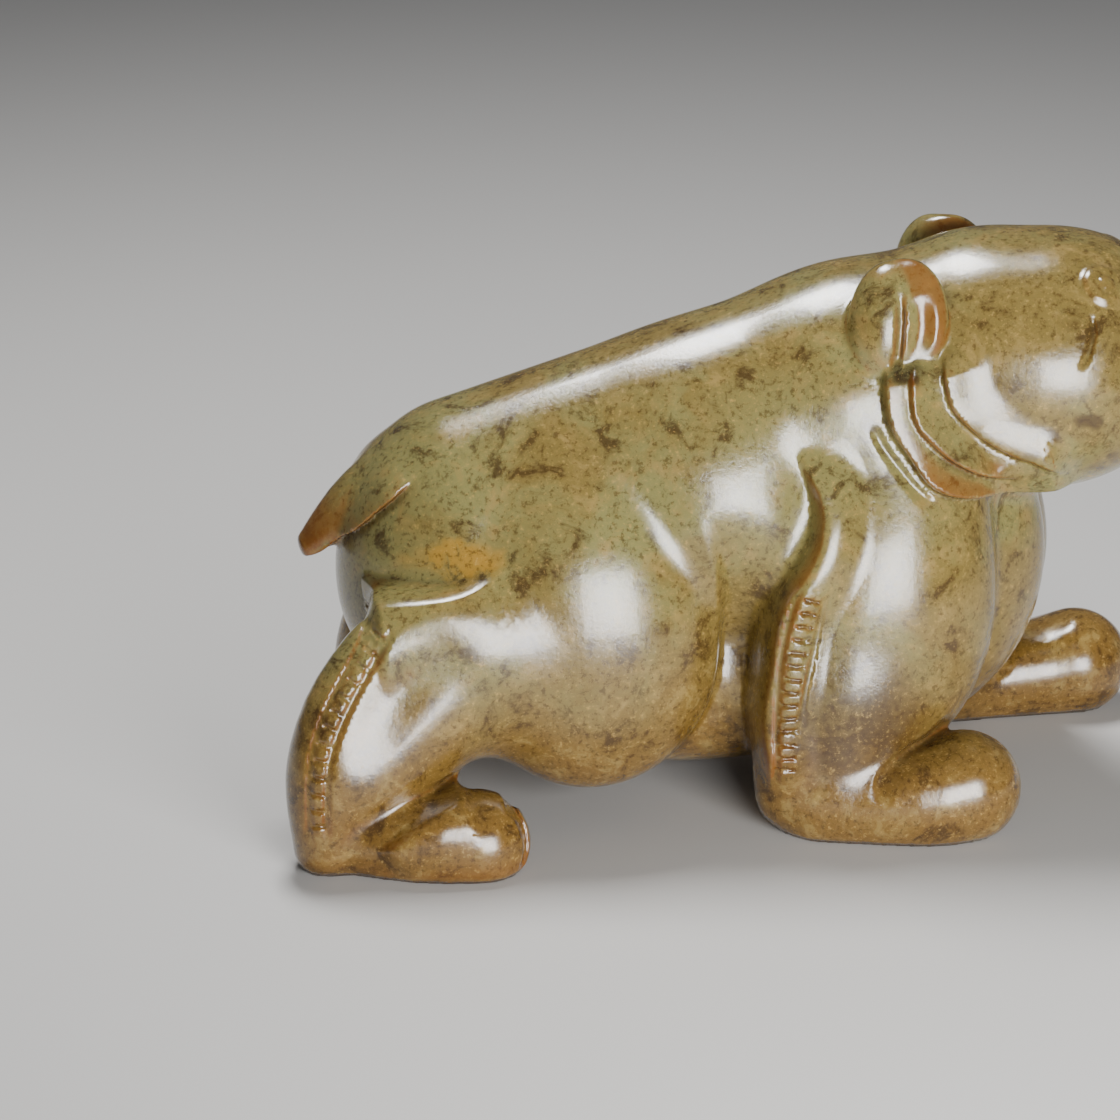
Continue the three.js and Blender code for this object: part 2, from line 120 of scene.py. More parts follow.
def cone(start, end):
    """The round cone that joins two balls, each given as (x, y, z, radius)."""
    ax, ay, az, ra = start
    bx, by, bz, rb = end
    run = (bx - ax, by - ay, bz - az)
    length2 = sum(part * part for part in run)
    taper = ra - rb
    slant2 = length2 - taper * taper

    def distance(x, y, z):
        p = (x - ax, y - ay, z - az)
        along = p[0] * run[0] + p[1] * run[1] + p[2] * run[2]
        past = along - length2
        side2 = sum((p[i] * length2 - run[i] * along) ** 2 for i in range(3))
        limit = np.sign(taper) * taper * taper * side2
        at_end = np.sqrt(side2 + past * past * length2) / length2 - rb
        at_start = np.sqrt(side2 + along * along * length2) / length2 - ra
        between = (np.sqrt(side2 * slant2 / length2) + along * taper) / length2 - ra
        beyond_end = np.sign(past) * slant2 * past * past * length2 > limit
        before_start = np.sign(along) * slant2 * along * along * length2 < limit
        return np.where(beyond_end, at_end, np.where(before_start, at_start, between))

    return distance


def limb(points):
    """A limb that runs in a smooth curve through several balls (x, y, z, radius)."""
    path = curve(points, LIMB_PIECES)
    cones = [cone(a, b) for a, b in zip(path, path[1:])]
    return lambda x, y, z: np.minimum.reduce([form(x, y, z) for form in cones])


# Lines carved in a side view: each is a function of two arrays, across and up


def measure(path, x, z):
    """How far spots lie from a path, positive to the left of its run, and how far along it."""
    best = np.full(x.shape, np.inf)
    side = np.zeros(x.shape)
    along = np.zeros(x.shape)
    before = 0
    for a, b in zip(path, path[1:]):
        run = b - a
        length = math.hypot(*run)
        px, pz = x - a[0], z - a[1]
        t = np.clip((px * run[0] + pz * run[1]) / length ** 2, 0, 1)
        far = np.hypot(px - t * run[0], pz - t * run[1])
        nearer = far < best
        left = np.where(run[0] * pz - run[1] * px < 0, -far, far)
        best = np.where(nearer, far, best)
        side = np.where(nearer, left, side)
        along = np.where(nearer, before + t * length, along)
        before += length
    return side, along, before


def smooth(low, high, value):
    """Nothing at low, rising smoothly to one at high."""
    t = np.clip((value - low) / (high - low), 0, 1)
    return t * t * (3 - 2 * t)


def along_path(points, reach, depth, fade):
    """A carved line: depth(side, along) is worked out within reach of the path, and dies away
    over the two lengths in fade at its ends."""
    path = curve(points, CURVE_PIECES)
    low, high = path.min(axis=0) - reach, path.max(axis=0) + reach

    def line(x, z):
        result = np.zeros(x.shape)
        near = (x > low[0]) & (x < high[0]) & (z > low[1]) & (z < high[1])
        if near.any():
            side, along, length = measure(path, x[near], z[near])
            ends = smooth(0, fade[0], along) * smooth(0, fade[1], length - along)
            result[near] = depth(side, along) * ends
        return result

    return line


def groove(points, width, depth, fade=(2, 2)):
    """A round-bottomed line."""
    return along_path(
        points, width,
        lambda side, along: depth * np.maximum(1 - (side / width) ** 2, 0) ** 2,
        fade,
    )


def step(points, height, reach, edge=0.5, fade=(3, 3)):
    """The stone to the left of the line stands up by height, or lies deeper where height is
    negative, and comes back over reach."""
    return along_path(
        points, reach,
        lambda side, along: -height * smooth(-edge, edge, side) * smooth(reach, edge, side),
        fade,
    )


TICK_CORE = 0.6  # the share of a tick's length that has its full depth


def ticks(points, width, pitch, depth, fade=(1, 1)):
    """A row of short cuts across the path."""

    def cut(side, along):
        wave = np.maximum(np.cos(2 * math.pi * along / pitch), 0) ** 2
        return depth * wave * smooth(width, width * TICK_CORE, np.abs(side))

    return along_path(points, width, cut, fade)


def total(lines, across, up):
    """What several carved lines add together."""
    return sum(line(across, up) for line in lines)


# How widely forms melt into each other where they meet

BODY_BLEND = 8
LIMB_BLEND = 5
SHIN_BLEND = 4
HEAD_BLEND = 3
NOSE_BLEND = 2.5
LEG_BLEND = 1.6
EAR_BLEND = 1.5
FOOT_BLEND = 1.2
EDGE_BLEND = 0.8
CREASE_BLEND = 0.5
EYE_BLEND = 0.3

# Trunk

torso = join(
    BODY_BLEND,
    cone((-27.5, 0, 31.5, 12), (12, 0, 43, 12.4)),
    ball((-26, 0, 23), (15, 13, 13)),
    ball((20, 0, 24), (13.5, 11, 17.5)),
    ball((-3, 0, 14), (25, 12, 11)),
)
flank = ball((-2.5, 0, 32), (17.5, 15.8, 17))
neck = cone((12, 0, 40.8, 14.1), (24, -1.5, 46, 12.6))
tail = limb([
    (-31, 0, 36.6, 4.6),
    (-38.4, 0, 33.5, 3.2),
    (-42.3, 0, 30.6, 2),
    (-44, 0, 29.1, 1.1),
])
TAIL_LINES = [
    step([(-45.8, 27.4), (-43.4, 28.4), (-41, 31), (-38.4, 34.2), (-36, 36.6), (-33.6, 38.8)],
         1, 4, 0.35, (1, 5)),
]

# Legs: those of the left side stand a stride ahead, and all toes turn out

HOCK_TOP = 27.5  # height of the level ledge on the hock

HIND_LINES = [
    step([(-25.5, 31.2), (-28.2, 29.5), (-31.2, 28.5), (-35, 28), (-40.6, 27.5)],
         1, 10, 0.5, (6, 1.5)),
    step([(-6.6, 36), (-5, 31.5), (-3.7, 25), (-3.7, 17), (-5.4, 11.4), (-8, 8)],
         -1.5, 7, 0.9, (12, 6)),
]
HIND_FOOT_LINES = [
    step([(-30.4, 8.9), (-33, 8.2), (-37.3, 5.8), (-40.8, 3)], 0.8, 5, 0.4, (2, 2)),
]
HIND_FINE_LINES = [
    groove([(-39.5, 26.4), (-41.9, 22.8), (-44.4, 19), (-46.1, 15.4), (-47, 11.5), (-47.3, 4)],
           0.6, 0.25),
    groove([(-37.9, 26), (-40, 22.4), (-42.5, 18.6), (-44.3, 15), (-45.3, 11.2), (-45.6, 4)],
           0.6, 0.3),
    ticks([(-38.7, 26.2), (-40.8, 22.6), (-43.4, 18.8), (-45.2, 15.2), (-46.1, 11.4), (-46.4, 5)],
          0.75, 1.7, 0.3),
    groove([(-27.6, 7.4), (-26, 5.4), (-25.4, 3), (-26, 0.4)], 0.5, 0.35, fade=(1, 1)),
]


def leg_place(side, stride):
    """Sets a spot of a leg, with or without its radius, on one side and a stride ahead."""
    return lambda x, y, z, *radius: (x + stride, side * y, z, *radius)


def hind_leg(side, stride):
    at = leg_place(side, stride)
    thigh = ball(at(-17.3, 9.5, 22), (14.6, 9.2, 17.4), pitch=5, roll=side * 8)
    shank = cone(at(-30, 10.2, 19.3, 8.6), at(-41, 14.6, 9.5, 6.4))
    hock = limb([
        at(-34.4, 12.3, 25, 4),
        at(-40.1, 14.8, 21.5, 3.3),
        at(-43.8, 16.2, 16.4, 3.4),
        at(-45.2, 17, 11, 3.4),
        at(-45.5, 17.4, 6.5, 3.4),
        at(-45.1, 17.4, 2.5, 3.4),
    ])
    shin = join(SHIN_BLEND, shank, hock)

    def level_shin(x, y, z):
        return soft_cut(shin(x, y, z), HOCK_TOP - z, EDGE_BLEND)

    foot = limb([
        at(-43.5, 15.6, 2.8, 4.4),
        at(-35.5, 18.5, 2.6, 5.2),
        at(-30, 19.3, 2.6, 5.4),
    ])
    return join(FOOT_BLEND, join(LIMB_BLEND, thigh, level_shin), foot)


FRONT_LINES = [
    step([(3.6, 41), (4.9, 37.4), (5.4, 35.2), (5.1, 32.6), (4, 30), (2.3, 27.3), (1, 24.5),
          (0.1, 19), (-0.7, 12.6), (0.5, 4.4)], 2, 6, 0.5, (5, 6)),
]
PAW_LINES = [groove([(11, 4.8), (11.9, 7.2), (14.4, 9), (17.4, 9.8), (20.4, 12)], 1.3, 0.5)]
FRONT_FINE_LINES = [
    groove([(3.4, 28.4), (2.3, 25.6), (1.4, 21.4), (0.9, 16.2), (0.7, 10.7), (1.1, 5.8)],
           0.55, 0.35),
    groove([(5.9, 27.6), (5.4, 25), (4.6, 20.9), (3.5, 16), (3.1, 11.6)], 0.6, 0.25, fade=(2, 6)),
    ticks([(4.7, 27.8), (3.9, 25), (2.9, 21.2), (2.1, 16.1), (1.9, 11.6), (1.7, 7.6)],
          1.1, 1.4, 0.35),
]

# The share of a front leg's reach that each part of it is moved ahead by
ARM_SHARE = 0.35
SHIN_TOP_SHARE = 0.55
ELBOW_FOOT_SHARE = 0.6
SHIN_FOOT_SHARE = 0.8
PAW_LENGTH = 20  # the paw is turned inward in full at this distance


def front_leg(side, stride, reach, inward):
    at = leg_place(side, stride)

    def at_paw(x, y, z, r):
        return at(x + reach, y - inward * (x / PAW_LENGTH), z, r)

    shoulder = ball(at(14.8, 8.7, 31), (10.5, 8.2, 18), roll=side * 7)
    arm = ball(at(12.2 + reach * ARM_SHARE, 11.6, 20), (12.4, 8.4, 15), pitch=-6)
    elbow = limb([
        at(8.4, 11, 34, 2.8),
        at(6.2, 12.5, 28.5, 2.8),
        at(3.6, 13.8, 22.5, 3),
        at(2.3, 14.8, 13, 3.1),
        at(3.2 + reach * ELBOW_FOOT_SHARE, 15.2, 4, 3.4),
    ])
    shin = cone(
        at(9.4 + reach * SHIN_TOP_SHARE, 12.6, 13.5, 7.8),
        at(8.5 + reach * SHIN_FOOT_SHARE, 14.6, 5, 6.2),
    )
    paw = limb([
        at_paw(7, 15.8, 3.4, 5.2),
        at_paw(16.5, 18.2, 4, 5.8),
        at_paw(20.9, 18.5, 4.8, 5.9),
    ])
    upper = join(LIMB_BLEND, shoulder, arm)
    return join(FOOT_BLEND, join(SHIN_BLEND, upper, elbow, shin), paw)


# Head, in a frame of its own: forward, left and up from the middle of the skull

HEAD_CENTRE = (27, -2, 46)
HEAD_YAW = math.radians(-20)


def head_spot(x, y, z):
    """Spots of the figure in the head's frame."""
    c, s = math.cos(HEAD_YAW), math.sin(HEAD_YAW)
    dx, dy = x - HEAD_CENTRE[0], y - HEAD_CENTRE[1]
    return dx * c + dy * s, dy * c - dx * s, z - HEAD_CENTRE[2]


HEAD_LINES = [
    groove([(26, -1.4), (22, -2.4), (18.5, -2.6), (15.5, -1.4)], 0.9, 0.9),
    step([(-9.8, 4.3), (-9.5, 0.6), (-9.1, -1.7), (-8.3, -3.7), (-6.6, -6.1), (-4.5, -8.8),
          (-1.6, -10.4), (2.4, -11.4), (6.5, -11.6), (10.5, -10.6)], 1.8, 9, 0.6),
    step([(-6.9, 4.5), (-6.8, 1), (-6.2, -2), (-4.8, -4), (-2.4, -6.4), (1, -8.5), (4.8, -9.3)],
         1, 3, 0.4),
    step([(-4.1, 5), (-3.6, 1.7), (-2.8, -1), (-1.2, -3), (0.9, -4.9), (3.6, -6.4), (6.8, -7.7),
          (9.4, -9.4)], 1, 5, 0.4),
    groove([(-10.7, -2.6), (-9.6, -4.9), (-7.9, -7.2), (-6, -9.4), (-3.9, -11.3)], 0.75, 0.4),
]
HEAD_FINE_LINES = [groove([(10.4, 8), (10.8, 5.8), (9.8, 2.4)], 0.6, 0.4, (1, 2))]
EAR_LINES = [
    groove([(-8.9, 0.6), (-8.4, 4), (-8.2, 7.5), (-8.6, 11)], 0.7, 0.6, (2, 3)),
    groove([(-6.6, 10.4), (-6, 7), (-6.5, 3.2)], 1.5, 0.6, (3, 3)),
]

skull = ball((3, 0, 0.2), (15.5, 13.8, 13.3))
brow = ball((9, 0, 5), (7.5, 7.5, 6.5))
muzzle = cone((8, 0, -0.3, 10.6), (17.5, 0, 0.3, 6.6))
snout = ball((20.5, 0, -0.2), (4.2, 5.4, 4.8))
nose = ball((23.8, 0, 2.3), (1.8, 3.1, 1.8))
face = join(NOSE_BLEND, join(LIMB_BLEND, skull, muzzle, brow), snout)


EAR_YAW = 12
EAR_ROLL = 14


def ear(side, forward, drop):
    """An ear with its carved hollow, moved forward and down by the two amounts given."""
    turn = {"yaw": side * EAR_YAW, "roll": side * EAR_ROLL}
    back = ball((-10.4, side * 12.5, 6.5), (3.5, 3.1, 6.1), **turn)
    front = ball((-8.3, side * 11.7, 6.8), (4.7, 2.5, 6.3), **turn)
    lobe = join(EAR_BLEND, back, front)

    def carved(f, l, u):
        return lobe(f - forward, l, u + drop) + total(EAR_LINES, f - forward, u + drop)

    return carved


BEAD_RADIUS = 1.1
BEAD_HEIGHT = 0.2  # above the middle of the eye
RING_RADIUS = 1.6
RING_HEIGHT = 0.3
RING_THICKNESS = 0.6


def eye(side):
    """A bead inside a raised ring."""
    centre = np.array((11.3, side * 6.9, 9.9))
    out = Vector((0.48, side * 0.5, 0.72)).normalized()
    bead = ball(centre + np.array(out) * BEAD_HEIGHT, (BEAD_RADIUS,) * 3)

    def ring(f, l, u):
        d = (f - centre[0], l - centre[1], u - centre[2])
        height = d[0] * out[0] + d[1] * out[1] + d[2] * out[2]
        across = np.sqrt(np.maximum(d[0] ** 2 + d[1] ** 2 + d[2] ** 2 - height ** 2, 0))
        return np.hypot(across - RING_RADIUS, height - RING_HEIGHT) - RING_THICKNESS

    return join(EYE_BLEND, bead, ring)


features = join(
    CREASE_BLEND, nose,
    ear(1, forward=2, drop=1), ear(-1, forward=0, drop=0),
    eye(1), eye(-1),
)

# The whole figure, cut off flat at the soles

HIND_STRIDE = 9  # how far the left hind leg stands ahead of the right one
FRONT_STRIDE = 8  # and the left front leg
REACH = 13  # how far the left front paw reaches on from there
INWARD = 4  # and how far that paw is turned inward
legs = [
    hind_leg(-1, stride=0),
    hind_leg(1, stride=HIND_STRIDE),
    front_leg(-1, stride=0, reach=0, inward=0),
    front_leg(1, stride=FRONT_STRIDE, reach=REACH, inward=INWARD),
]
trunk = join(EDGE_BLEND, join(HEAD_BLEND, torso, flank, neck), tail)
SKIN = 4  # lines are only worked out this near the surface
FLANK = 7  # and this far from the middle plane
RUFF_BACK = -13  # lines of the head lie ahead of this, in the head's frame
CHEEK = 4  # and this far from its middle plane
SNOUT = 16  # or anywhere ahead of this


def relief(x, y, z):
    """What the carved lines add: positive cuts in, negative stands up."""
    result = np.zeros(x.shape)
    f, l, u = head_spot(x, y, z)
    near = (f > RUFF_BACK) & ((np.abs(l) > CHEEK) | (f > SNOUT))
    result[near] += total(HEAD_LINES + HEAD_FINE_LINES, f[near], u[near])
    result += total(TAIL_LINES, x, z)
    for side, hind, front, paw in (
        (y < -FLANK, 0, 0, 0),
        (y > FLANK, HIND_STRIDE, FRONT_STRIDE, FRONT_STRIDE + REACH),
    ):
        across, up = x[side], z[side]
        result[side] += total(HIND_LINES + HIND_FOOT_LINES + HIND_FINE_LINES, across - hind, up)
        result[side] += total(FRONT_LINES + FRONT_FINE_LINES, across - front, up)
        result[side] += total(PAW_LINES, across - paw, up)
    return result


def figure(x, y, z):
    """The distance from spots to the surface of the bear, negative inside the stone."""
    head_place = head_spot(x, y, z)
    distance = soft_union(trunk(x, y, z), face(*head_place), HEAD_BLEND)
    for leg in legs:
        distance = soft_union(distance, leg(x, y, z), LEG_BLEND)
    near = np.abs(distance) < SKIN
    distance[near] += relief(x[near], y[near], z[near])
    distance = soft_union(distance, features(*head_place), EDGE_BLEND)
    return soft_cut(distance, z, EDGE_BLEND)


# From field to mesh: naive surface nets in the blocks that the surface passes through

LOW = np.array([-54.0, -30.0, -2.4])
HIGH = np.array([56.0, 30.0, 66.0])
NEAR_BLOCKS = 1.6  # blocks within this many of their sizes of the surface are sampled finely
BLOCKS_AT_ONCE = 400
JUST_INSIDE = -1e-3
SQUARE = ((0, 0), (1, 0), (1, 1), (0, 1))  # the corners of a square of the grid, in turn


def sample():
    """The field on a fine grid, exact near the surface and coarse elsewhere."""
    cells = int(round(COARSE / FINE))
    step_size = COARSE / cells
    blocks = np.ceil((HIGH - LOW) / COARSE).astype(int)
    axes = [LOW[i] + COARSE * (np.arange(blocks[i]) + 0.5) for i in range(3)]
    middle = np.meshgrid(*axes, indexing="ij")
    coarse = figure(*(part.ravel() for part in middle)).reshape(blocks)
    values = np.repeat(np.repeat(np.repeat(coarse, cells, 0), cells, 1), cells, 2)
    values = values.astype(np.float32)
    wanted = np.abs(coarse) < COARSE * NEAR_BLOCKS
    grown = wanted.copy()
    for axis in range(3):
        for shift in (-1, 1):
            grown |= np.roll(wanted, shift, axis)
    near = np.argwhere(grown)
    offsets = np.stack(np.meshgrid(*[np.arange(cells)] * 3, indexing="ij"), -1).reshape(-1, 3)
    for part in np.array_split(near, max(1, len(near) // BLOCKS_AT_ONCE)):
        index = (part[:, None, :] * cells + offsets[None]).reshape(-1, 3)
        spots = LOW + (index + 0.5) * step_size
        values[tuple(index.T)] = figure(*spots.T)
    return values, LOW + 0.5 * step_size, step_size


def fill_chequered(values):
    """Fills the outside sample nearest the surface in every chequered square of the grid."""
    while True:
        inside = values < 0
        filled = 0
        for axis in range(3):
            u, v = (axis + 1) % 3, (axis + 2) % 3

            def part(array, du, dv):
                cut = [slice(None)] * 3
                cut[u] = slice(1, None) if du else slice(0, -1)
                cut[v] = slice(1, None) if dv else slice(0, -1)
                return array[tuple(cut)]

            a, b, c, d = (part(inside, *corner) for corner in SQUARE)
            chequered = np.argwhere((a == c) & (b == d) & (a != b))
            for spot in chequered:
                corners = []
                for du, dv in SQUARE:
                    corner = spot.copy()
                    corner[u] += du
                    corner[v] += dv
                    corners.append(tuple(corner))
                outside = [corner for corner in corners if values[corner] >= 0]
                if len(outside) == 2:
                    values[min(outside, key=lambda corner: values[corner])] = JUST_INSIDE
                    filled += 1
        if not filled:
            return


def surface_net(values, low, step_size):
    """One point in every cell that the surface crosses, and squares between them."""
    inside = values < 0
    counts = np.zeros(tuple(n - 1 for n in values.shape), np.int8)
    corners = [(i, j, k) for i in (0, 1) for j in (0, 1) for k in (0, 1)]

    def shifted(array, corner):
        return array[tuple(slice(c, n - 1 + c) for c, n in zip(corner, array.shape))]

    for corner in corners:
        counts += shifted(inside, corner)
    cells = np.argwhere((counts > 0) & (counts < 8))
    number = np.full(counts.shape, -1, np.int32)
    number[tuple(cells.T)] = np.arange(len(cells))
    total_spot = np.zeros((len(cells), 3))
    crossings = np.zeros(len(cells))
    for a in corners:
        for axis in range(3):
            if a[axis]:
                continue
            b = tuple(1 if i == axis else a[i] for i in range(3))
            va = values[tuple((cells + a).T)]
            vb = values[tuple((cells + b).T)]
            crossed = (va < 0) != (vb < 0)
            t = np.where(crossed, va / np.where(crossed, va - vb, 1), 0)
            spot = np.array(a, float) + t[:, None] * (np.array(b) - np.array(a))
            total_spot += spot * crossed[:, None]
            crossings += crossed
    points = low + (cells + total_spot / crossings[:, None]) * step_size
    quads = []
    for axis in range(3):
        u, v = (axis + 1) % 3, (axis + 2) % 3
        cut_a = [slice(1, -1)] * 3
        cut_b = [slice(1, -1)] * 3
        cut_b[axis] = slice(2, None)
        here, there = inside[tuple(cut_a)], inside[tuple(cut_b)]
        spots = np.argwhere(here != there) + 1
        is_inside = inside[tuple(spots.T)]
        ring = []
        for du, dv in ((1, 1), (0, 1), (0, 0), (1, 0)):
            cell = spots.copy()
            cell[:, u] -= du
            cell[:, v] -= dv
            ring.append(number[tuple(cell.T)])
        ring = np.stack(ring, 1)
        ring[~is_inside] = ring[~is_inside][:, ::-1]
        quads.append(ring)
    return points, np.concatenate(quads)


SLOPE_REACH = 0.05  # the slope is measured over this much to either side
LEAST_STEEP = 0.2


def slope_at(points):
    """The field's value and its slope at points."""
    value = figure(*points.T)
    slope = np.empty_like(points)
    for axis in range(3):
        ahead, behind = points.copy(), points.copy()
        ahead[:, axis] += SLOPE_REACH
        behind[:, axis] -= SLOPE_REACH
        slope[:, axis] = (figure(*ahead.T) - figure(*behind.T)) / (2 * SLOPE_REACH)
    return value, slope


def settle(points):
    """Moves points onto the surface along its slope."""
    value, slope = slope_at(points)
    steep = np.maximum((slope * slope).sum(axis=1), LEAST_STEEP)
    move = -np.clip(value, -FINE, FINE)[:, None] * slope / steep[:, None]
    return points + move


SOLE = 0.3  # the stone this near the floor belongs to a sole


def carve():
    """The bear's mesh in hundredths of its length, thinned to the triangles that it may have."""
    values, low, step_size = sample()
    fill_chequered(values)
    points, quads = surface_net(values, low, step_size)
    points[points[:, 2] < SOLE, 2] = 0
    mesh = bpy.data.meshes.new("net")
    mesh.from_pydata(points.tolist(), [], quads.tolist())
    draft = bpy.data.objects.new("net", mesh)
    bpy.context.scene.collection.objects.link(draft)
    thin = draft.modifiers.new("thin", "DECIMATE")
    thin.ratio = MAX_TRIANGLES / (2 * len(quads))
    graph = bpy.context.evaluated_depsgraph_get()
    thinned = bpy.data.meshes.new_from_object(draft.evaluated_get(graph))
    bpy.data.objects.remove(draft)
    bpy.data.meshes.remove(mesh)
    return thinned


def coordinates(mesh):
    """The places of a mesh's points, one row each."""
    flat = np.empty(3 * len(mesh.vertices))
    mesh.vertices.foreach_get("co", flat)
    return flat.reshape(-1, 3)


mesh = carve()
mesh.name = "bear_surface"
points = coordinates(mesh)
on_sole = points[:, 2] < SOLE / 2
points = settle(settle(points))
points[on_sole, 2] = 0
_, slope = slope_at(points)
normals = slope / np.linalg.norm(slope, axis=1)[:, None]
normals[on_sole] = (0, 0, -1)

# Where the stone is thin, with its far side near, and hollow, in the carved lines: the colour uses
# these for russet skin with a painted glow of light through thin stone, and for painted shade with dark
# patina in the lines

THIN_DEPTH = 3.5  # stone is thin where this much below the surface is outside again
HOLLOW_HEIGHT = 1.2  # and hollow where this much above it is still in stone
thin = 1 + figure(*(points - normals * THIN_DEPTH).T) / THIN_DEPTH
hollow = 1 - figure(*(points + normals * HOLLOW_HEIGHT).T) / HOLLOW_HEIGHT
for name, values in (("thin", thin), ("hollow", hollow)):
    layer = mesh.attributes.new(name, "FLOAT", "POINT")
    layer.data.foreach_set("value", np.clip(values, 0, 1).astype(np.float32))

# Set in the place of the solid

solid_low, solid_high = (np.array(corner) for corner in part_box("bear"))
own_low, own_high = points.min(axis=0), points.max(axis=0)
unit = (solid_high[0] - solid_low[0]) / (own_high[0] - own_low[0])
shift = (solid_low + solid_high) / 2 - unit * (own_low + own_high) / 2
shift[2] = solid_low[2]
mesh.vertices.foreach_set("co", (points * unit + shift).ravel())
for polygon in mesh.polygons:
    polygon.use_smooth = True
mesh.update()
mesh.normals_split_custom_set_from_vertices(normals.tolist())
bear = bpy.data.objects.new("bear_surface", mesh)
bpy.context.scene.collection.objects.link(bear)
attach(bear, "root")
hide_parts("bear")

# Jade, with a place given in hundredths of the length like everything else

# The sockets of a mix of two colours, by number because their names repeat
MIX_SHARE = 0
MIX_FIRST = 6
MIX_SECOND = 7
MIX_RESULT = 2
NEAR_CORE = 0.35  # the share of a stain's radii inside which it is full


class Nodes:
    """Short ways to add and join the nodes of one material."""

    def __init__(self, material):
        material.use_nodes = True
        self.nodes = material.node_tree.nodes
        self.links = material.node_tree.links
        self.shader = self.nodes["Principled BSDF"]

    def add(self, kind, inputs=None, output=0, **settings):
        """A new node with its inputs and settings, given as its output of that name."""
        node = self.nodes.new(kind)
        for name, value in settings.items():
            setattr(node, name, value)
        for name, value in (inputs or {}).items():
            self.put(node.inputs[name], value)
        return node.outputs[output]

    def put(self, socket, value):
        """Sets a socket to a value, or links it where the value is another node's output."""
        if isinstance(value, bpy.types.NodeSocket):
            self.links.new(value, socket)
        else:
            socket.default_value = value

    def math(self, operation, *values):
        return self.add("ShaderNodeMath", dict(enumerate(values)), operation=operation)

    def times(self, value, factor):
        return self.math("MULTIPLY", value, factor)

    def vector_math(self, operation, *values, output=0):
        inputs = dict(enumerate(values))
        return self.add("ShaderNodeVectorMath", inputs, output=output, operation=operation)

    def noise(self, place, scale, detail, roughness):
        inputs = {"Vector": place, "Scale": scale, "Detail": detail, "Roughness": roughness}
        return self.add("ShaderNodeTexNoise", inputs)

    def between(self, value, low, high, low_out=0.0, high_out=1.0):
        """Goes smoothly from low_out to high_out as the value goes from low to high."""
        inputs = {"Value": value, "From Min": low, "From Max": high, "To Min": low_out,
                  "To Max": high_out}
        return self.add("ShaderNodeMapRange", inputs, interpolation_type="SMOOTHSTEP")

    def mix(self, share, first, second):
        """The first colour with a share of the second."""
        inputs = {MIX_SHARE: share, MIX_FIRST: first, MIX_SECOND: second}
        return self.add("ShaderNodeMix", inputs, MIX_RESULT, data_type="RGBA")

    def tint(self, colour, value, bounds, share, stain):
        """A colour stained up to a share where a value goes from the first bound to the second."""
        return self.mix(self.between(value, *bounds, 0, share), colour, stain)

    def near(self, place, centre, radii):
        """One around a centre, falling to nothing on the ellipsoid of the given radii."""
        offset = self.vector_math("SUBTRACT", place, centre)
        offset = self.vector_math("DIVIDE", offset, radii)
        return self.between(self.vector_math("LENGTH", offset, output="Value"), NEAR_CORE, 1, 1, 0)


# Colours of the stone
OLIVE = (0.165, 0.118, 0.032, 1)
SAGE = (0.19, 0.172, 0.06, 1)
KHAKI = (0.27, 0.185, 0.058, 1)
UMBER = (0.04, 0.019, 0.006, 1)
HONEY = (0.14, 0.06, 0.009, 1)
AMBER = (0.17, 0.056, 0.007, 1)
GOLD = (0.48, 0.31, 0.085, 1)
OCHRE = (0.36, 0.18, 0.012, 1)
SOOT = (0.022, 0.011, 0.005, 1)

# Patterns in the stone, each by the scale, detail and roughness of its noise
CLOUDS = (0.055, 5, 0.6)
MOTTLE = (0.28, 8, 0.68)
GRAIN = (1.5, 8, 0.7)
DUST = (3.2, 4, 0.7)
WARP = {"Scale": 0.12, "Detail": 3}
WARP_REACH = 9

# Greener parts, each as a centre and radii: the shoulder, the rump and the neck
GREEN_PARTS = (
    ((4, -12, 38), (16, 14, 14)),
    ((-38, -6, 26), (12, 20, 12)),
    ((14, -12, 40), (10, 14, 16)),
)
GREEN_SHARE = 0.8
BROWN_FROM = 30  # the stone turns browner below this height
BROWN_FULL = 4
BROWN_SHARE = 0.65
LEAST_GREEN = 0.15  # what is left of the green down there

# Stains, as a centre, radii, share and colour: under the ear, on the front leg, over the hock
STAINS = (
    ((14.4, -14, 48.6), (2.4, 4, 2.6), 0.9, SOOT),
    ((9, -19, 13), (9, 9, 11), 0.8, UMBER),
    ((-30.5, -13, 30.6), (7, 7, 2.4), 0.6, OCHRE),
)
CHEEK_SPOTS = ((33, -12, 44), (13, 16, 12))
SPOT_SCALE = 0.24
SPOT_SHARE = 0.75
# The amber of thin edges, russet skin with a painted glow of light through the stone: how far it
# follows the mottle, and its share
RUSSET_GLOW_MOTTLE = 0.5
RUSSET_GLOW_SHARE = 0.7


def stone_places(n):
    """A spot's place in hundredths of the length, and the same place bent by a slow noise."""
    object_place = n.add("ShaderNodeTexCoord", output="Object")
    moved = n.vector_math("SUBTRACT", object_place, tuple(shift))
    place = n.vector_math("MULTIPLY", moved, (1 / unit,) * 3)
    warp = n.add("ShaderNodeTexNoise", {"Vector": place, **WARP}, output="Color")
    warp = n.vector_math("SUBTRACT", warp, (0.5, 0.5, 0.5))
    return place, n.vector_math("ADD", place, n.vector_math("MULTIPLY", warp, (WARP_REACH,) * 3))


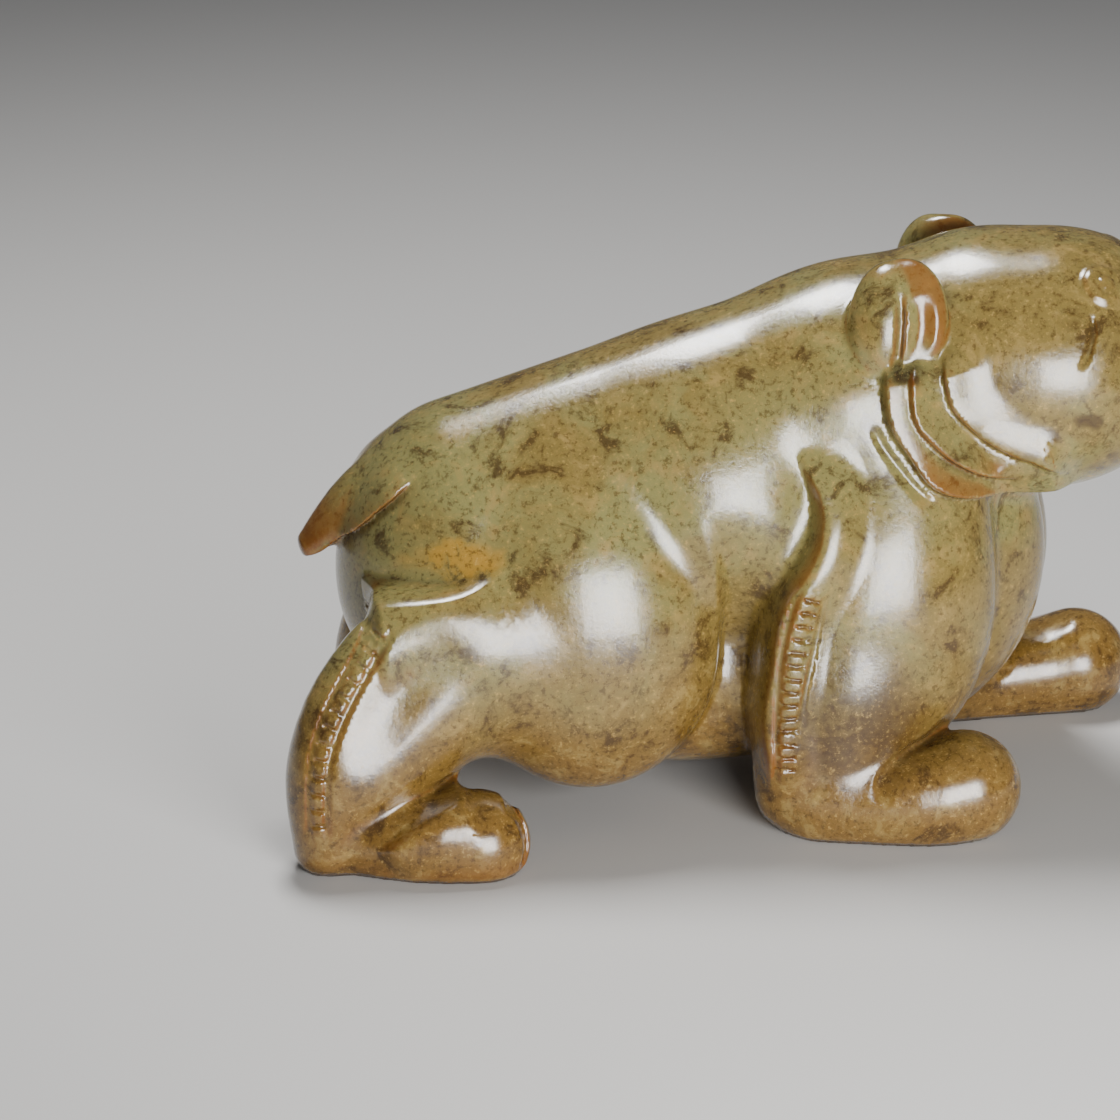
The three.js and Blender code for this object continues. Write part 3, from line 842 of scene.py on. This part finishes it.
def body_colour(n, wandering, mottle):
    """Olive, greener in the shoulder, neck and rump, browner towards the feet, and stained."""
    green = n.between(n.noise(wandering, *CLOUDS), 0.42, 0.6)
    for centre, radii in GREEN_PARTS:
        green = n.math("MAXIMUM", green, n.times(n.near(wandering, centre, radii), GREEN_SHARE))
    height = n.add("ShaderNodeSeparateXYZ", {"Vector": wandering}, output="Z")
    low = n.between(height, BROWN_FROM, BROWN_FULL)
    green = n.times(green, n.between(low, 0.2, 0.9, 1, LEAST_GREEN))
    colour = n.mix(green, OLIVE, SAGE)
    colour = n.mix(n.times(low, BROWN_SHARE), colour, HONEY)
    colour = n.tint(colour, mottle, (0.5, 0.68), 0.75, KHAKI)
    colour = n.tint(colour, mottle, (0.48, 0.34), 0.8, UMBER)
    for centre, radii, share, stain in STAINS:
        patch = n.times(n.near(wandering, centre, radii), n.between(mottle, 0.38, 0.52))
        colour = n.mix(n.times(patch, share), colour, stain)
    return colour


def skin_colour(n, colour, place, wandering, mottle):
    """Russet skin with a painted glow of light through the stone on thin edges, painted shade with dark
    patina in the carved lines, and round spots on the cheek.
    """
    thin_part = n.add("ShaderNodeAttribute", output="Fac", attribute_name="thin")
    hollow_part = n.add("ShaderNodeAttribute", output="Fac", attribute_name="hollow")
    # amber on thin edges: russet skin with a painted glow of light shining through the thin stone
    edge = n.between(n.math("ADD", thin_part, n.times(mottle, RUSSET_GLOW_MOTTLE)), 0.4, 0.95)
    colour = n.mix(n.times(edge, RUSSET_GLOW_SHARE), colour, AMBER)
    # darker in the carved lines: painted shade, together with their dark patina
    colour = n.tint(colour, hollow_part, (0.3, 0.95), 0.6, UMBER)
    cells = n.add("ShaderNodeTexVoronoi", {"Vector": wandering, "Scale": SPOT_SCALE})
    spot = n.times(n.between(cells, 0.36, 0.2), n.near(place, *CHEEK_SPOTS))
    return n.mix(n.times(spot, SPOT_SHARE), colour, UMBER)


def jade_material():
    material = bpy.data.materials.new("jade")
    n = Nodes(material)
    place, wandering = stone_places(n)
    mottle = n.noise(wandering, *MOTTLE)
    grain = n.noise(place, *GRAIN)
    dust = n.noise(place, *DUST)

    # colour: golden flecks of the grain lie over dark ones
    colour = body_colour(n, wandering, mottle)
    colour = n.tint(colour, grain, (0.48, 0.36), 0.6, UMBER)
    colour = n.tint(colour, grain, (0.56, 0.7), 0.5, GOLD)
    colour = n.tint(colour, dust, (0.58, 0.7), 0.35, GOLD)
    colour = skin_colour(n, colour, place, wandering, mottle)

    # polish: a little dull where the grain is open
    polish = n.between(grain, 0.35, 0.7, 0.12, 0.22)
    dull = n.between(dust, 0.6, 0.75, 0, 0.06)
    pits = n.math("ADD", n.times(grain, 0.7), n.times(dust, 0.3))
    looks = {
        "Base Color": colour,
        "Roughness": n.math("ADD", polish, dull),
        "Normal": n.add("ShaderNodeBump", {"Strength": 0.35, "Distance": 0.12 * unit, "Height": pits}),
        "IOR": 1.55,
        "Coat Weight": 0.25,
        "Coat Roughness": 0.06,
        "Subsurface Weight": 0.2,
        "Subsurface Radius": (1.0, 0.6, 0.2),
        "Subsurface Scale": 2.5 * unit,
    }
    for name, value in looks.items():
        n.put(n.shader.inputs[name], value)
    return material


mesh.materials.clear()
mesh.materials.append(jade_material())

# Floor, light and camera


def place(point):
    """A point of the figure, given in hundredths of its length, in metres."""
    return Vector(point) * unit + Vector(shift)


CAMERA_AZIMUTH = math.radians(-9.5)
CAMERA_HEIGHT = math.radians(20)
CAMERA_DISTANCE = 465
LOOK_AT = (-18.27, 0, 25.40)
PIXELS_PER_UNIT = 9.6
IMAGE_WIDTH = 1120
SENSOR = 36
NEAREST = 0.01  # metres
FARTHEST = 20

camera_data = bpy.data.cameras.new("camera")
camera_data.sensor_width = SENSOR
camera_data.lens = SENSOR * PIXELS_PER_UNIT * CAMERA_DISTANCE / IMAGE_WIDTH
camera_data.clip_start = NEAREST
camera_data.clip_end = FARTHEST
camera = bpy.data.objects.new("camera", camera_data)
bpy.context.scene.collection.objects.link(camera)
back = Vector((
    math.sin(CAMERA_AZIMUTH) * math.cos(CAMERA_HEIGHT),
    -math.cos(CAMERA_AZIMUTH) * math.cos(CAMERA_HEIGHT),
    math.sin(CAMERA_HEIGHT),
))
camera.location = place(LOOK_AT) + back * CAMERA_DISTANCE * unit
camera.rotation_mode = "QUATERNION"
camera.rotation_quaternion = (-back).to_track_quat("-Z", "Y")
bpy.context.scene.camera = camera


LIGHTS_AIM = (0, 0, 25)


def softbox(name, location, size, power):
    """A wide soft light of some watts, aimed at the middle of the bear."""
    data = bpy.data.lights.new(name, "AREA")
    data.shape = "RECTANGLE"
    data.size, data.size_y = size[0] * unit, size[1] * unit
    data.energy = power
    lamp = bpy.data.objects.new(name, data)
    bpy.context.scene.collection.objects.link(lamp)
    lamp.location = place(location)
    aim = place(LIGHTS_AIM) - lamp.location
    lamp.rotation_mode = "QUATERNION"
    lamp.rotation_quaternion = aim.to_track_quat("-Z", "Y")


softbox("front_softbox", location=(42, -228, 60), size=(120, 105), power=0.75)
softbox("top_softbox", location=(-25, 100, 295), size=(80, 110), power=0.95)

FLOOR_REACH = 3.0  # metres to each side
FLOOR_COLOUR = (0.5, 0.49, 0.475, 1)
FLOOR_ROUGHNESS = 0.7

floor_mesh = bpy.data.meshes.new("floor")
floor_corners = [(u * FLOOR_REACH, v * FLOOR_REACH, 0) for u, v in ((-1, -1), (1, -1), (1, 1), (-1, 1))]
floor_mesh.from_pydata(floor_corners, [], [(0, 1, 2, 3)])
floor = bpy.data.objects.new("floor", floor_mesh)
bpy.context.scene.collection.objects.link(floor)
floor_paint = bpy.data.materials.new("floor")
floor_paint.use_nodes = True
floor_looks = floor_paint.node_tree.nodes["Principled BSDF"].inputs
floor_looks["Base Color"].default_value = FLOOR_COLOUR
floor_looks["Roughness"].default_value = FLOOR_ROUGHNESS
floor_mesh.materials.append(floor_paint)

STUDIO_COLOUR = (0.6, 0.62, 0.66, 1)
STUDIO_STRENGTH = 0.16

world = bpy.data.worlds.new("studio")
bpy.context.scene.world = world
world.use_nodes = True
background = world.node_tree.nodes["Background"].inputs
background["Color"].default_value = STUDIO_COLOUR
background["Strength"].default_value = STUDIO_STRENGTH
